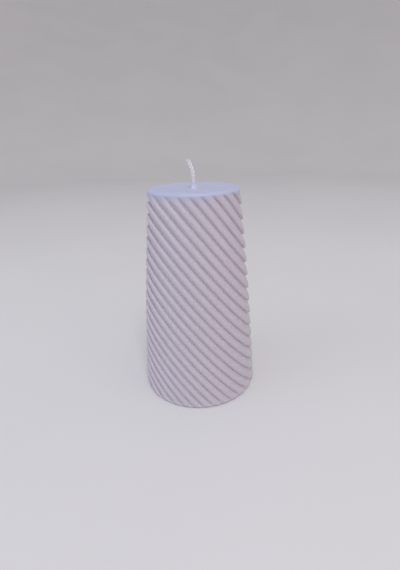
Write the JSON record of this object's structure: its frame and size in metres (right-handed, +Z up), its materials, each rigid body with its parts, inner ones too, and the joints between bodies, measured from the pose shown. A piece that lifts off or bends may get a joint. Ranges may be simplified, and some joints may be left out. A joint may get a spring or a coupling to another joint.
{
  "type": "spiral pillar candle",
  "caption": "Tapered wax pillar candle with slanting rounded ribs, a flat top and a cotton wick held by a metal sustainer in its base.",
  "frame": {"origin": "middle of the flat base that the candle stands on", "axes": "+Z up along the wick's bore, -Y towards the side seen in the picture, -X the way that the wick's end leans"},
  "size_m": [0.0876, 0.0877, 0.1676],
  "materials": {
    "wax": "pale lavender-white candle wax with a soft satin skin",
    "wick_cotton": "undyed cotton braid primed with wax",
    "tinned_sheet": "bright tin-plated sheet steel"
  },
  "bodies": {
    "root": {"wax_body": "wax", "wick": "wick_cotton", "wick_sustainer": "tinned_sheet"}
  },
  "joints": []
}
